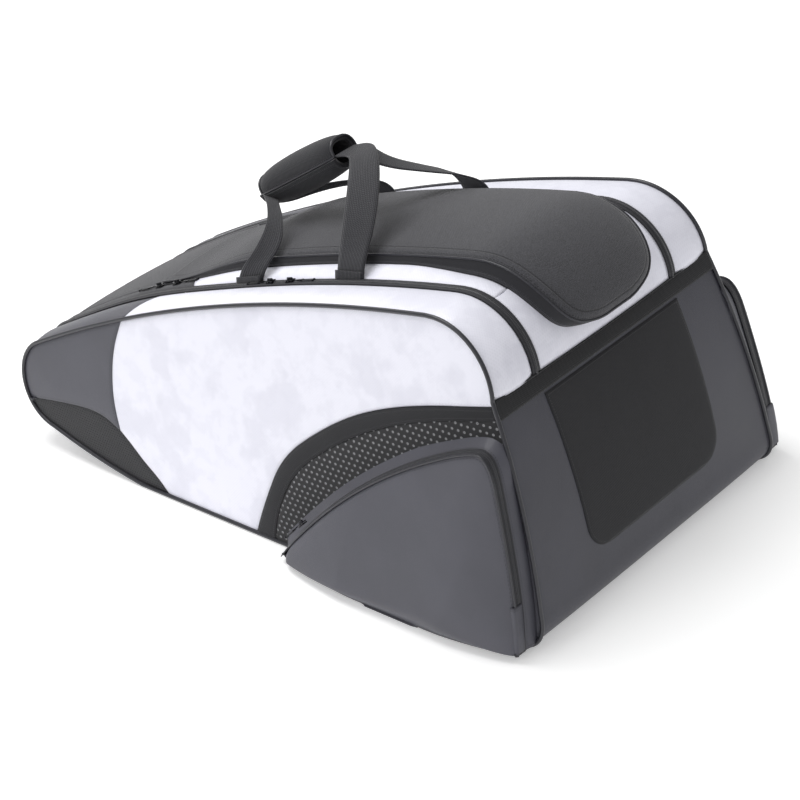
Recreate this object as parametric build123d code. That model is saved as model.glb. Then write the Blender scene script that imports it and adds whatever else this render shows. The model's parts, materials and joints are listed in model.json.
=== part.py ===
from build123d import *
import math
import os

# Racket tournament bag: a soft wedge-shaped bag that lies on its long bottom side.
# Millimetres, +Z up. The parts are drawn with x counted from the nose tip, and the whole
# bag is then moved so that the origin is under the middle of its box, on the floor.

# Overall size, and how far a cutting shape runs past the bag
LENGTH = 858.0
HEIGHT = 362.0
WALL = 4.0
CUT_BEYOND = 100.0
BUTT_INSIDE = 20.0
GAP = 0.3

# Side outline: nose, back, shoulder and butt
NOSE_RADIUS = 58.0
NOSE_CENTRE_Z = 93.0
NOSE_TOP_ANGLE = 116.0
NOSE_BOTTOM_ANGLE = 262.0
BACK_BOW = 28.0
CREST_FROM_BUTT = 158.0
SHOULDER_FROM_BUTT = 66.0
SHOULDER_DROP = 77.0
BUTT_BOW = 8.0
BUTT_CORNER_Z = 45.0
BUTT_CORNER_BULGE = 2.4
BUTT_CORNER_RUN = 28.0
BUTT_CORNER_MIDDLE_IN = 5.0
BUTT_CORNER_MIDDLE_Z = 12.0
CREST_DROP = 1.0
FLAT_START_X = 250.0
UNDERSIDE_BOW = 5.0

# Side faces: each is one plane that widens to the butt and leans out to the floor
SIDE_AT_NOSE = 183.9
SIDE_TAPER = 0.062
SIDE_LEAN = 0.0891

# Main zips, inside which the back strips and the dividers lie
ZIP_NOSE_Y = 126.0
ZIP_BUTT_Y = 140.0
ZIP_WIDTH = 12.0
DIVIDER_THICK = 3.0
DIVIDER_INSET = 4.0

# Fold line of each side cover, from the nose to the end of its zip
FOLD_NOSE_Z = 52.0
FOLD_BUTT_DROP = 77.0
NOSE_SEAM_X = 185.0
NOSE_SEAM_SLOPE = 0.15
PIPING_WIDTH = 5.0
PIPING_PROUD = 3.5

# Lid over the middle compartment
LID_FRONT_X = 195.0
LID_HALF = 100.0
LID_RISE = 22.0
LID_SKIN = 3.0
LID_PAD = 8.0
LID_OVERLAP = 12.0
LID_SEAT = 0.5
LID_END_ABOVE_FOLD = 20.0

# Butt end
BAND_HEIGHT = 23.0
BAND_PROUD = 2.5
BAND_EDGE = 1.0
END_FABRIC_HALF = 130.0
END_FABRIC_PROUD = 1.5
END_FABRIC_LOW_Z = 62.0

# Shoe pocket on each side
POCKET_LENGTH = 388.0
POCKET_HEIGHT = 238.0
POCKET_TOP_FROM_BUTT = 60.0
POCKET_BOW = 22.0
POCKET_MARGIN = 8.0
POCKET_DEPTH = 30.0
POCKET_WALL = 2.5
POCKET_FRONT = 3.0
POCKET_ZIP_WIDTH = 9.0
POCKET_ZIP_PROUD = 1.2
POCKET_ZIP_LAP = 1.0
MESH_BAND_WIDTH = 62.0
MESH_BAND_PROUD = 1.2

# Zip sliders and pulls
SLIDER = (15.0, 8.0, 4.5)
SLIDER_LIFT = 0.5
PULL = (30.0, 5.0, 1.8)
PULL_GAP = 0.4
PULL_LIFT = 0.8
SLIDER_SPACING = 20.0
NEAR_ZIP_SLIDER_X = 425.0
FAR_ZIP_SLIDER_X = 462.0
NEAR_LID_SLIDER_X = 218.0
FAR_LID_SLIDER_X = 440.0
LID_SLIDER_Y = 105.5
POCKET_SLIDER_Z = 50.0

# Handle: two webbing loops gathered in a padded grip
FOOT_FRONT_X = 375.0
FOOT_REAR_X = 531.0
FOOT_SIZE = (40.0, 9.0, 2.5)
FOOT_FROM_ZIP = 1.0
LEG_WIDTH = 14.0
LEG_THICK = 2.0
LEG_RISE = 46.0
LEG_LEAN = 4.0
LEG_LIFT = 2.8
NEAR_LEG_BEYOND = 24.0
FAR_LEG_BEYOND = 45.0
GRIP_FRONT_X = 304.0
GRIP_FRONT_RISE = 85.0
GRIP_REAR_X = 432.0
GRIP_REAR_RISE = 122.0
GRIP_SIZE = (46.0, 36.0)
GRIP_ROUND = 16.0
SLOT_SIZE = (40.0, 6.0)
WEBBING_OFFSET = 1.4

FAR_OUT = 600.0


def arc_circle(a, b, bow):
    """Centre and radius of the arc from a to b that stands bow above its chord."""
    chord = math.dist(a, b)
    radius = chord ** 2 / (8 * bow) + bow / 2
    middle = ((a[0] + b[0]) / 2, (a[1] + b[1]) / 2)
    up = (-(b[1] - a[1]) / chord, (b[0] - a[0]) / chord)
    drop = radius - bow
    return (middle[0] - up[0] * drop, middle[1] - up[1] * drop), radius


def bowed(a, b, bow):
    """Arc from a to b, bow to the left of the way from a to b."""
    chord = math.dist(a, b)
    left = (-(b[1] - a[1]) / chord, (b[0] - a[0]) / chord)
    middle = ((a[0] + b[0]) / 2 + left[0] * bow, (a[1] + b[1]) / 2 + left[1] * bow)
    return ThreePointArc(a, middle, b)


def on_nose(angle):
    turn = math.radians(angle)
    return (NOSE_RADIUS * (1 + math.cos(turn)), NOSE_CENTRE_Z + NOSE_RADIUS * math.sin(turn))


# Corner points of the side outline
nose_top = on_nose(NOSE_TOP_ANGLE)
nose_bottom = on_nose(NOSE_BOTTOM_ANGLE)
crest = (LENGTH - CREST_FROM_BUTT, HEIGHT - CREST_DROP)
band_corner = (LENGTH - SHOULDER_FROM_BUTT, HEIGHT - SHOULDER_DROP)
butt_low = (LENGTH - BUTT_CORNER_BULGE, BUTT_CORNER_Z)
floor_rear = (LENGTH - BUTT_CORNER_RUN, 0)
corner_middle = (butt_low[0] - BUTT_CORNER_MIDDLE_IN, BUTT_CORNER_MIDDLE_Z)
floor_front = (FLAT_START_X, 0)
back_centre, back_radius = arc_circle(nose_top, crest, BACK_BOW)


def back_z(x):
    return back_centre[1] + math.sqrt(back_radius ** 2 - (x - back_centre[0]) ** 2)


def back_slope(x):
    """Unit vector along the back at x, towards the butt."""
    rise = -(x - back_centre[0]) / (back_z(x) - back_centre[1])
    size = math.hypot(1, rise)
    return Vector(1 / size, 0, rise / size)


def make_outline():
    back = bowed(nose_top, crest, BACK_BOW)
    shoulder = TangentArc(crest, band_corner, tangent=back % 1)
    edges = [
        ThreePointArc(nose_bottom, (0, NOSE_CENTRE_Z), nose_top),
        back,
        shoulder,
        bowed(band_corner, butt_low, BUTT_BOW),
        ThreePointArc(butt_low, corner_middle, floor_rear),
        Line(floor_rear, floor_front),
        bowed(floor_front, nose_bottom, UNDERSIDE_BOW),
    ]
    return make_face(Wire(edges))


def offset_face(face, amount):
    return offset(face, amount=amount, kind=Kind.ARC).face()


def polygon(*points):
    return make_face(Polyline(*points, close=True))


def slab(face):
    """The face, drawn in x and z, made a solid across the whole width."""
    return extrude(Plane.XZ * face, amount=FAR_OUT, both=True)


def side_plane(inset):
    """The outer face of the +Y side, moved in by inset."""
    normal = Vector(-SIDE_TAPER, 1, SIDE_LEAN).normalized()
    return Plane(origin=Vector(0, SIDE_AT_NOSE, 0) - normal * inset, z_dir=normal)


zip_slope = (ZIP_BUTT_Y - ZIP_NOSE_Y) / LENGTH


def zip_y(x):
    return ZIP_NOSE_Y + zip_slope * x


def zip_plane(inset):
    return Plane(origin=(0, ZIP_NOSE_Y - inset, 0), z_dir=(-zip_slope, 1, 0))


def y_plane(y):
    return Plane(origin=(0, y, 0), z_dir=(0, 1, 0))


def between(solid, inner, outer):
    """The part of a solid between two planes that both face +Y."""
    cut = split(solid, bisect_by=outer, keep=Keep.BOTTOM)
    return split(cut, bisect_by=inner, keep=Keep.TOP)


def across(face, half_y):
    return between(slab(face), y_plane(-half_y), y_plane(half_y))


def full_width(face, inset):
    """A strip that runs from one side face to the other, inset from both."""
    cut = split(slab(face), bisect_by=side_plane(inset), keep=Keep.BOTTOM)
    return split(cut, bisect_by=mirrored_plane(side_plane(inset)), keep=Keep.BOTTOM)


def mirrored_plane(plane):
    origin = plane.origin
    normal = plane.z_dir
    return Plane(origin=(origin.X, -origin.Y, origin.Z), z_dir=(normal.X, -normal.Y, normal.Z))


outline = make_outline()
inside = offset_face(outline, -WALL)
shell = outline - inside

fold_rise = (HEIGHT - FOLD_BUTT_DROP - FOLD_NOSE_Z) / (LENGTH - SHOULDER_FROM_BUTT)


def fold_z(x):
    return FOLD_NOSE_Z + fold_rise * x


def beyond_fold(gap, far_z):
    """Everything on one side of the fold line, gap away from it."""
    return polygon(
        (-CUT_BEYOND, fold_z(-CUT_BEYOND) + gap),
        (LENGTH + CUT_BEYOND, fold_z(LENGTH + CUT_BEYOND) + gap),
        (LENGTH + CUT_BEYOND, far_z),
        (-CUT_BEYOND, far_z),
    )


above_fold = beyond_fold(GAP, HEIGHT + CUT_BEYOND)
below_fold = beyond_fold(-GAP, -HEIGHT)
butt_side = polygon(
    (floor_rear[0], -CUT_BEYOND),
    (LENGTH + CUT_BEYOND, -CUT_BEYOND),
    (LENGTH + CUT_BEYOND, HEIGHT + CUT_BEYOND),
    (band_corner[0] - BUTT_INSIDE, HEIGHT + CUT_BEYOND),
    (band_corner[0] - BUTT_INSIDE, BUTT_CORNER_Z),
    (floor_rear[0], BUTT_CORNER_Z / 2),
)
lid_low_z = band_corner[1] + LID_END_ABOVE_FOLD
lid_reach = polygon(
    (LID_FRONT_X, fold_z(LID_FRONT_X)),
    (crest[0], lid_low_z),
    (LENGTH + CUT_BEYOND, lid_low_z),
    (LENGTH + CUT_BEYOND, HEIGHT + CUT_BEYOND),
    (LID_FRONT_X, HEIGHT + CUT_BEYOND),
)

parts = {}


def add(name, solid):
    parts[name] = solid


def add_pair(name, solid):
    """A piece of the +Y side, and its twin on the -Y side."""
    parts["far_" + name] = solid
    parts["near_" + name] = mirror(solid, about=Plane.XZ)


# Fixed shell
add("bottom_panel", full_width((shell & below_fold) - butt_side, WALL + GAP))
add("end_panel", full_width(shell & below_fold & butt_side, WALL + GAP))

band_low = band_corner[1] - BAND_HEIGHT
end_ring = offset_face(outline, BAND_PROUD) - outline
band_reach = polygon(
    (band_corner[0] - BUTT_INSIDE, band_low),
    (LENGTH + CUT_BEYOND, band_low),
    (LENGTH + CUT_BEYOND, band_corner[1] - BAND_EDGE),
    (band_corner[0] - BUTT_INSIDE, band_corner[1] - BAND_EDGE),
)
add("end_band", full_width(end_ring & band_reach, WALL + GAP))

fabric_ring = offset_face(outline, END_FABRIC_PROUD) - outline
fabric_reach = polygon(
    (band_corner[0] - BUTT_INSIDE, END_FABRIC_LOW_Z),
    (LENGTH + CUT_BEYOND, END_FABRIC_LOW_Z),
    (LENGTH + CUT_BEYOND, band_low),
    (band_corner[0] - BUTT_INSIDE, band_low),
)
add("end_fabric_panel", across(fabric_ring & fabric_reach, END_FABRIC_HALF))

back_ring = shell & above_fold
opening_half = LID_HALF - LID_OVERLAP
strip = between(slab(back_ring), y_plane(opening_half), zip_plane(ZIP_WIDTH))
add_pair("back_strip", strip)
add_pair("zip", between(slab(back_ring), zip_plane(ZIP_WIDTH), zip_plane(0)))
nose_reach = polygon((-50, -50), (LID_FRONT_X, -50), (LID_FRONT_X, HEIGHT), (-50, HEIGHT))
add("nose_top_panel", across(back_ring & nose_reach, opening_half))
lid_seat_reach = polygon(
    (crest[0], 0),
    (LENGTH + CUT_BEYOND, 0),
    (LENGTH + CUT_BEYOND, lid_low_z + LID_OVERLAP),
    (crest[0], lid_low_z + LID_OVERLAP),
)
add("shoulder_panel", across(back_ring & lid_seat_reach, opening_half))

compartment = offset_face(outline, -WALL - GAP)
divider = between(
    slab(compartment), zip_plane(DIVIDER_INSET + DIVIDER_THICK), zip_plane(DIVIDER_INSET)
)
add_pair("divider", divider)

# Sides: the lower part is fixed, the upper part folds out on the fold line
seam_top = (NOSE_SEAM_X + NOSE_SEAM_SLOPE * HEIGHT, HEIGHT)
seam_foot = (NOSE_SEAM_X, 0)
nose_side = polygon((-50, 0), seam_foot, seam_top, (-50, HEIGHT))
side_lower = between(slab(outline & below_fold), side_plane(WALL), side_plane(0))
add_pair("side_lower", side_lower)
cover_face = outline & above_fold
add_pair("side_cover", between(slab(cover_face - nose_side), side_plane(WALL), side_plane(0)))
add_pair("nose_patch", between(slab(cover_face & nose_side), side_plane(WALL), side_plane(0)))
gusset = between(slab(back_ring), zip_plane(-GAP), side_plane(WALL))
add_pair("outer_gusset", gusset)
piping_ring = outline - offset_face(outline, -PIPING_WIDTH)
piping_upper = between(slab(piping_ring & above_fold), side_plane(0), side_plane(-PIPING_PROUD))
add_pair("piping_upper", piping_upper)
piping_lower = between(slab(piping_ring & below_fold), side_plane(0), side_plane(-PIPING_PROUD))
add_pair("piping_lower", piping_lower)

# Shoe pockets
pocket_start = (LENGTH - POCKET_LENGTH, POCKET_MARGIN)
pocket_peak = (LENGTH - POCKET_TOP_FROM_BUTT, POCKET_HEIGHT)
pocket_area = make_face(
    Wire(
        [
            bowed(pocket_start, pocket_peak, POCKET_BOW),
            Line(pocket_peak, (LENGTH + CUT_BEYOND, POCKET_HEIGHT)),
            Line((LENGTH + CUT_BEYOND, POCKET_HEIGHT), (LENGTH + CUT_BEYOND, POCKET_MARGIN)),
            Line((LENGTH + CUT_BEYOND, POCKET_MARGIN), pocket_start),
        ]
    )
)
pocket_face = (pocket_area & offset_face(outline, -POCKET_MARGIN)).face()
pocket_ring = pocket_face - offset_face(pocket_face, -POCKET_WALL)
add_pair("pocket_wall", between(slab(pocket_ring), side_plane(0), side_plane(-POCKET_DEPTH)))
pocket_front = between(
    slab(pocket_face), side_plane(-POCKET_DEPTH - GAP), side_plane(-POCKET_DEPTH - POCKET_FRONT)
)
add_pair("pocket_front", pocket_front)
pocket_zip_reach = polygon(
    (0, POCKET_MARGIN), (LENGTH + CUT_BEYOND, POCKET_MARGIN), (LENGTH + CUT_BEYOND, HEIGHT), (0, HEIGHT)
)
pocket_zip_ring = (offset_face(pocket_face, POCKET_ZIP_PROUD) - pocket_face) & pocket_zip_reach
pocket_zip = between(
    slab(pocket_zip_ring),
    side_plane(-POCKET_DEPTH + POCKET_ZIP_WIDTH),
    side_plane(-POCKET_DEPTH + POCKET_ZIP_LAP),
)
add_pair("pocket_zip", pocket_zip)
band_zone = offset_face(pocket_face, MESH_BAND_WIDTH)
band_face = (band_zone & below_fold & offset_face(outline, -PIPING_WIDTH)) - pocket_face
mesh_band = between(slab(band_face), side_plane(0), side_plane(-MESH_BAND_PROUD))
add_pair("mesh_band", mesh_band)

# Lid: a raised skin with walls, and a pad under the skin
lid_top = offset_face(outline, LID_RISE)
lid_skin_under = offset_face(outline, LID_RISE - LID_SKIN)
lid_pad_under = offset_face(outline, LID_RISE - LID_SKIN - LID_PAD)
lid_foot = offset_face(outline, LID_SEAT)
lid_room = offset_face(lid_reach, -LID_SKIN)
lid_outer = across((lid_top - lid_foot) & lid_reach, LID_HALF)
lid_below = across((lid_skin_under - lid_foot) & lid_room, LID_HALF - LID_SKIN)
add("lid", lid_outer - lid_below)
pad_face = (lid_skin_under - lid_pad_under) & offset_face(lid_reach, -LID_SKIN - GAP)
add("lid_pad", across(pad_face, LID_HALF - LID_SKIN - GAP))


def place(size, origin, along, up):
    """A box that starts at origin, runs along its length and stands up by its height."""
    plane = Plane(origin=origin, x_dir=along, z_dir=up)
    box = Box(*size, align=(Align.MIN, Align.CENTER, Align.MIN))
    return plane * box


def across_y(along):
    """The direction square to along that points away from the back."""
    return Vector(-along.Z, 0, along.X)


def add_slider_pair(prefix, x, y):
    """Two sliders head to head at x, with their pulls lying outwards along the zip."""
    for name, way in (("nose", -1), ("butt", 1)):
        start = x + way * SLIDER_SPACING / 2
        along = back_slope(start) * way
        up = across_y(back_slope(start))
        foot = Vector(start, y, back_z(start)) + up * SLIDER_LIFT
        add(f"{prefix}_{name}_slider", place(SLIDER, foot, along, up))
        tip = foot + along * (SLIDER[0] + PULL_GAP)
        add(f"{prefix}_{name}_pull", place(PULL, tip + up * PULL_GAP, along, up))


near_tape_y = -(zip_y(NEAR_ZIP_SLIDER_X) - ZIP_WIDTH / 2)
far_tape_y = zip_y(FAR_ZIP_SLIDER_X) - ZIP_WIDTH / 2
add_slider_pair("near_zip", NEAR_ZIP_SLIDER_X, near_tape_y)
add_slider_pair("far_zip", FAR_ZIP_SLIDER_X, far_tape_y)
add_slider_pair("near_lid", NEAR_LID_SLIDER_X, -LID_SLIDER_Y)
add_slider_pair("far_lid", FAR_LID_SLIDER_X, LID_SLIDER_Y)

# Pocket sliders, parked at the low end of each pocket zip, with their pulls hanging
arc_centre, arc_radius = arc_circle(pocket_start, pocket_peak, POCKET_BOW)
slider_x = arc_centre[0] - math.sqrt(arc_radius ** 2 - (POCKET_SLIDER_Z - arc_centre[1]) ** 2)
out_xz = Vector(slider_x - arc_centre[0], 0, POCKET_SLIDER_Z - arc_centre[1]).normalized()
along_xz = Vector(out_xz.Z, 0, -out_xz.X)
mid_depth = POCKET_DEPTH - 1 - POCKET_ZIP_WIDTH / 2
side_normal = side_plane(0).z_dir
slider_y = (
    SIDE_AT_NOSE + SIDE_TAPER * slider_x - SIDE_LEAN * POCKET_SLIDER_Z + mid_depth
)
slider_foot = Vector(slider_x, slider_y, POCKET_SLIDER_Z) + out_xz * (POCKET_ZIP_PROUD + SLIDER_LIFT)
add_pair("pocket_slider", place(SLIDER, slider_foot, along_xz, out_xz))
pull_top = slider_foot - along_xz * PULL_GAP + out_xz * (PULL_GAP + PULL_LIFT)
add_pair("pocket_pull", place(PULL, pull_top, -along_xz, out_xz))

# Handle
feet = []
legs_at = {}
for where, x in (("front", FOOT_FRONT_X), ("rear", FOOT_REAR_X)):
    along = back_slope(x)
    up = across_y(along)
    middle_y = zip_y(x) - ZIP_WIDTH - FOOT_FROM_ZIP - FOOT_SIZE[1] / 2
    start = Vector(x, middle_y, back_z(x)) - along * FOOT_SIZE[0] / 2
    patch = place(FOOT_SIZE, start, along, up)
    feet += [patch, mirror(patch, about=Plane.XZ)]
    legs_at[where] = Vector(x, middle_y, back_z(x) + LEG_LIFT) + up * FOOT_SIZE[2]
add("handle_feet", Compound(children=feet))

grip_front = Vector(GRIP_FRONT_X, 0, back_z(GRIP_FRONT_X) + GRIP_FRONT_RISE)
grip_rear = Vector(GRIP_REAR_X, 0, back_z(GRIP_REAR_X) + GRIP_REAR_RISE)
grip_along = (grip_rear - grip_front).normalized()
grip_up = across_y(grip_along)
grip_plane = Plane(origin=grip_front, x_dir=(0, 1, 0), z_dir=grip_along)
grip_length = (grip_rear - grip_front).length
grip_section = RectangleRounded(*GRIP_SIZE, GRIP_ROUND) - Rectangle(*SLOT_SIZE)
grip_tube = extrude(grip_plane * grip_section, amount=grip_length)
parting_up = grip_plane.y_dir
upper_half = split(
    grip_tube,
    bisect_by=Plane(origin=grip_front + parting_up * GAP / 2, z_dir=parting_up),
    keep=Keep.TOP,
)
lower_half = split(
    grip_tube,
    bisect_by=Plane(origin=grip_front - parting_up * GAP / 2, z_dir=parting_up),
    keep=Keep.BOTTOM,
)
halves = sorted([upper_half, lower_half], key=lambda half: half.center().Z)
add("grip_pad", halves[0])
add("grip_flap", halves[1])


def strap_run(start, end, flat_up):
    """One straight run of webbing, its flat side facing as near flat_up as it can."""
    along = (end - start).normalized()
    aside = along.cross(flat_up).normalized()
    up = aside.cross(along)
    plane = Plane(origin=start, x_dir=along, z_dir=up)
    box = Box(
        (end - start).length, LEG_WIDTH, LEG_THICK, align=(Align.MIN, Align.CENTER, Align.CENTER)
    )
    return plane * box


def add_webbing(prefix, side, level, beyond):
    """One loop: up from its front foot, through the grip and down to its rear foot."""
    shift = grip_up * level
    ends = []
    past_front = grip_front - grip_along * beyond
    past_rear = grip_rear + grip_along * beyond
    for where, grip_end in (("front", past_front), ("rear", past_rear)):
        foot = legs_at[where]
        foot = Vector(foot.X, side * foot.Y, foot.Z)
        knee = foot + Vector(0, -side * LEG_LEAN, LEG_RISE)
        ends.append((foot, knee, grip_end + shift))
    (foot_a, knee_a, top_a), (foot_b, knee_b, top_b) = ends
    runs = [
        strap_run(foot_a, knee_a, Vector(0, 1, 0)),
        strap_run(knee_a, top_a, grip_up),
        strap_run(top_a, top_b, grip_up),
        strap_run(top_b, knee_b, grip_up),
        strap_run(knee_b, foot_b, Vector(0, 1, 0)),
    ]
    add(f"{prefix}_webbing", runs[0] + runs[1] + runs[2] + runs[3] + runs[4])


add_webbing("near", -1, -WEBBING_OFFSET, NEAR_LEG_BEYOND)
add_webbing("far", 1, WEBBING_OFFSET, FAR_LEG_BEYOND)

# Move the bag so that the origin is under the middle of its box, and write each part
box = Compound(children=[Compound(part.solids()) for part in parts.values()]).bounding_box()
middle = Pos(-(box.min.X + box.max.X) / 2, 0, 0)
os.makedirs("parts", exist_ok=True)
for name, part in parts.items():
    moved = [middle * solid for solid in part.solids()]
    export_step(moved[0] if len(moved) == 1 else Compound(moved), f"parts/{name}.step")
print("parts", len(parts), "shift", round(middle.position.X, 3))
print("grip ends", [round(end.Z, 1) for end in (grip_front, grip_rear)])
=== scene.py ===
# %% [markdown]
# This lesson dresses a racket tournament bag. The frame holds plain solids with the true sizes and
# joints. Each of them is replaced here by sewn, padded and zipped pieces that ride on its body.

# %% Load the frame
import json
import math

import bmesh
import bpy
from mathutils import Matrix, Vector, kdtree

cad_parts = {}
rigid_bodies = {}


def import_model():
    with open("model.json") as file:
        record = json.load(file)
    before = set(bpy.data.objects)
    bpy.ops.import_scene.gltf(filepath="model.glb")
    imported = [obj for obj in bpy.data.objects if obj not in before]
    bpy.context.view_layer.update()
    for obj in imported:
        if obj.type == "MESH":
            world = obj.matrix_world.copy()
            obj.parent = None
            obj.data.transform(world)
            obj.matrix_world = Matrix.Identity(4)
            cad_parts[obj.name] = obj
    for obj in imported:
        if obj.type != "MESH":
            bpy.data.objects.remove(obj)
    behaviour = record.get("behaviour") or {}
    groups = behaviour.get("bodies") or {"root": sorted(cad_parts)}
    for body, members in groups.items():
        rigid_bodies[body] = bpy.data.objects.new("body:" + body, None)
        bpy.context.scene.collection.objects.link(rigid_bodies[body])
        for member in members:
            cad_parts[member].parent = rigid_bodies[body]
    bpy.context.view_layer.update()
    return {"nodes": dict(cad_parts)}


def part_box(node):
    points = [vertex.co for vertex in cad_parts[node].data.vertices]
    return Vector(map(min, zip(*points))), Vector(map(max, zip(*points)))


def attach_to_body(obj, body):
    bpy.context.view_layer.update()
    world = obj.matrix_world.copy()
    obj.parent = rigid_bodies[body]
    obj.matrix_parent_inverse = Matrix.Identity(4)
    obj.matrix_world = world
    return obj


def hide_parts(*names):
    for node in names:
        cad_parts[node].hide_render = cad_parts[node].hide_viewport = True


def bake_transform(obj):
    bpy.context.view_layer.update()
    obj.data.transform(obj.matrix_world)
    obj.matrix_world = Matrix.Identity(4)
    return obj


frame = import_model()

NOSE_TIP = -0.428959  # x of the nose tip in the row frame, in metres


# %% [markdown]
# The pattern maker thinks in millimetres from the nose tip, so the helpers do too. One function
# turns such a place into the frame's metres. Seam lines are made of arcs, because cloth sewn
# over a wire or piping takes a bow, and a bowed line needs only its two ends and its height.

# %% Places and lines
def at(x, y, z):
    return Vector((x / 1000 + NOSE_TIP, y / 1000, z / 1000))


def turn(centre, radius, start, stop, count):
    angles = [math.radians(start + (stop - start) * k / count) for k in range(count + 1)]
    return [Vector((centre[0] + radius * math.cos(a), centre[1] + radius * math.sin(a))) for a in angles]


def bowed(a, b, bow, count=24):
    a, b = Vector(a), Vector(b)
    left = Vector((a.y - b.y, b.x - a.x)).normalized()
    shares = [k / count for k in range(count + 1)]
    return [a.lerp(b, k) + left * bow * 4 * k * (1 - k) for k in shares]


def joined(*runs):
    points = []
    for run in runs:
        points += [Vector(p) for p in run if not points or (Vector(p) - points[-1]).length > 0.01]
    return points


def smooth(points, rounds=3):
    """Cuts the corners of a line again and again, and keeps its two ends."""
    points = [Vector(p) for p in points]
    for _ in range(rounds):
        cut = [points[0]]
        for a, b in zip(points, points[1:]):
            cut += [a.lerp(b, 0.25), a.lerp(b, 0.75)]
        points = cut + [points[-1]]
    return points


def length_of(points):
    return sum((b - a).length for a, b in zip(points, points[1:]))


def tree_of(points):
    tree = kdtree.KDTree(len(points))
    for number, point in enumerate(points):
        tree.insert(point, number)
    tree.balance()
    return tree


class Line:
    """A line of points that is read by its share from 0 to 1, at an even pace."""

    def __init__(self, points):
        self.points = [Vector(p) for p in points]
        self.runs = [0.0]
        for a, b in zip(self.points, self.points[1:]):
            self.runs.append(self.runs[-1] + (b - a).length)
        self.length = self.runs[-1]

    def __call__(self, share):
        want = min(max(share, 0), 1) * self.length
        low, high = 0, len(self.runs) - 1
        while high - low > 1:
            middle = (low + high) // 2
            low, high = (middle, high) if self.runs[middle] <= want else (low, middle)
        step = self.runs[high] - self.runs[low]
        return self.points[low].lerp(self.points[high], (want - self.runs[low]) / step)

    def left(self, share):
        ahead = self(share + 0.002) - self(share - 0.002)
        return Vector((-ahead.y, ahead.x)).normalized()

    def share_where(self, test):
        """The first share at which test(point) is true."""
        return next((k / 1000 for k in range(1001) if test(self(k / 1000))), 1.0)

    def part(self, start, stop, count=60):
        return [self(start + (stop - start) * k / count) for k in range(count + 1)]


print("a bow of 10 over 100 is", round(Line(bowed((0, 0), (100, 0), 10)).length, 1), "long")


# %% [markdown]
# Seen from the side, the bag is a wedge: a round nose, a long bowed back, a tight shoulder, a butt
# end and a flat floor. The crest is the line over the top, from the fold at the nose to the corner
# of the end band. The keel is the rest of the loop.

# %% The side outline
FOLD_ANGLE, NOSE_TOP_ANGLE, NOSE_BOTTOM_ANGLE = 219.7, 116, 262
NOSE_CENTRE, NOSE_RADIUS = (58, 93), 58
BAND_CORNER, BUTT_LOW, HEEL = (792, 285), (855.6, 45), (830, 0)
BELLY = (250, 0)
nose_upper = turn(NOSE_CENTRE, NOSE_RADIUS, FOLD_ANGLE, NOSE_TOP_ANGLE, 40)
back = bowed(nose_upper[-1], (700, 361), 28, 90)
shoulder = turn((711, 280), 81.4, 97.7, 3.5, 40)
butt = Line(joined(bowed(BAND_CORNER, BUTT_LOW, 8, 40)))
nose_lower = turn(NOSE_CENTRE, NOSE_RADIUS, NOSE_BOTTOM_ANGLE, FOLD_ANGLE, 24)
heel = bowed(BUTT_LOW, HEEL, 12, 12)
underside = bowed(BELLY, nose_lower[0], 5, 24)
crest = Line(joined(nose_upper, back, shoulder, [BAND_CORNER]))
keel = Line(joined(butt.points, heel, bowed(HEEL, BELLY, 0, 60), underside, nose_lower))
print("crest", round(crest.length), "mm, keel", round(keel.length), "mm")


def crest_share(x):
    """Where the crest passes x, on its way from the nose to the shoulder."""
    tip = crest.share_where(lambda p: p.x < 1)
    return next((k / 2000 for k in range(int(tip * 2000), 2001) if crest(k / 2000).x >= x), 1.0)


# %% [markdown]
# Each side is nearly flat, but stuffed cloth swells between its seams. The swell grows with the
# distance from the outline, so neighbouring patches that use it share one surface with no step.
# The top crowns in the same way from one side piping to the other.

# %% Side and top surfaces
SIDE_SWELL, SWELL_REACH = 6, 45
outline = crest.part(0, 1, 420) + keel.part(0, 1, 700)
outline_tree = tree_of([point.to_3d() for point in outline])


def side_y(p):
    """Half the width of the bag between its side pipings."""
    return 183.9 + 0.062 * p.x - 0.0891 * p.y


def on_side(side, p, lift=0.0):
    away = outline_tree.find((p.x, p.y, 0))[2]
    out = side_y(p) + SIDE_SWELL * (1 - math.exp(-away / SWELL_REACH)) + lift
    return at(p.x, side * out, p.y)


def top_crown(p, y):
    """How far the stuffed top stands above the straight line across, most of all behind the nose."""
    middle = 6 + 11 * math.exp(-((p.x - 190) / 120) ** 2)
    return middle * max(0, 1 - (y / side_y(p)) ** 2)


def on_line(line, share, y, lift=0.0, crowned=True):
    p = line(share)
    lift += top_crown(p, y) if crowned else 0
    p = p + line.left(share) * lift
    return at(p.x, y, p.y)


def zip_y(x):
    """The outer edge of a main zip, from the middle of the bag."""
    return 126 + 0.0163 * x


print("half width at the nose and the butt", round(side_y(crest(0))), round(side_y(crest(1))), "mm")


# %% [markdown]
# Every piece of cloth here starts as a grid that one function lays on its surface. The grid keeps
# its run and width as a UV map in metres, for weave, teeth and stitches that follow the piece,
# and an attribute that says how far each point is from the nearest seam.

# %% Laying cloth
INSIDE_X, INSIDE_Z = (-0.33, 0.3), 0.12  # where the middle of the bag lies, in metres
PIN_REACH, LOOSE_HOLD = 0.006, 0.02  # how far a seam holds the cloth, and how weakly the rest is held
CLOTH_FRAMES = 14
FLOOR_CLEARANCE = 0.0015


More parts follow.
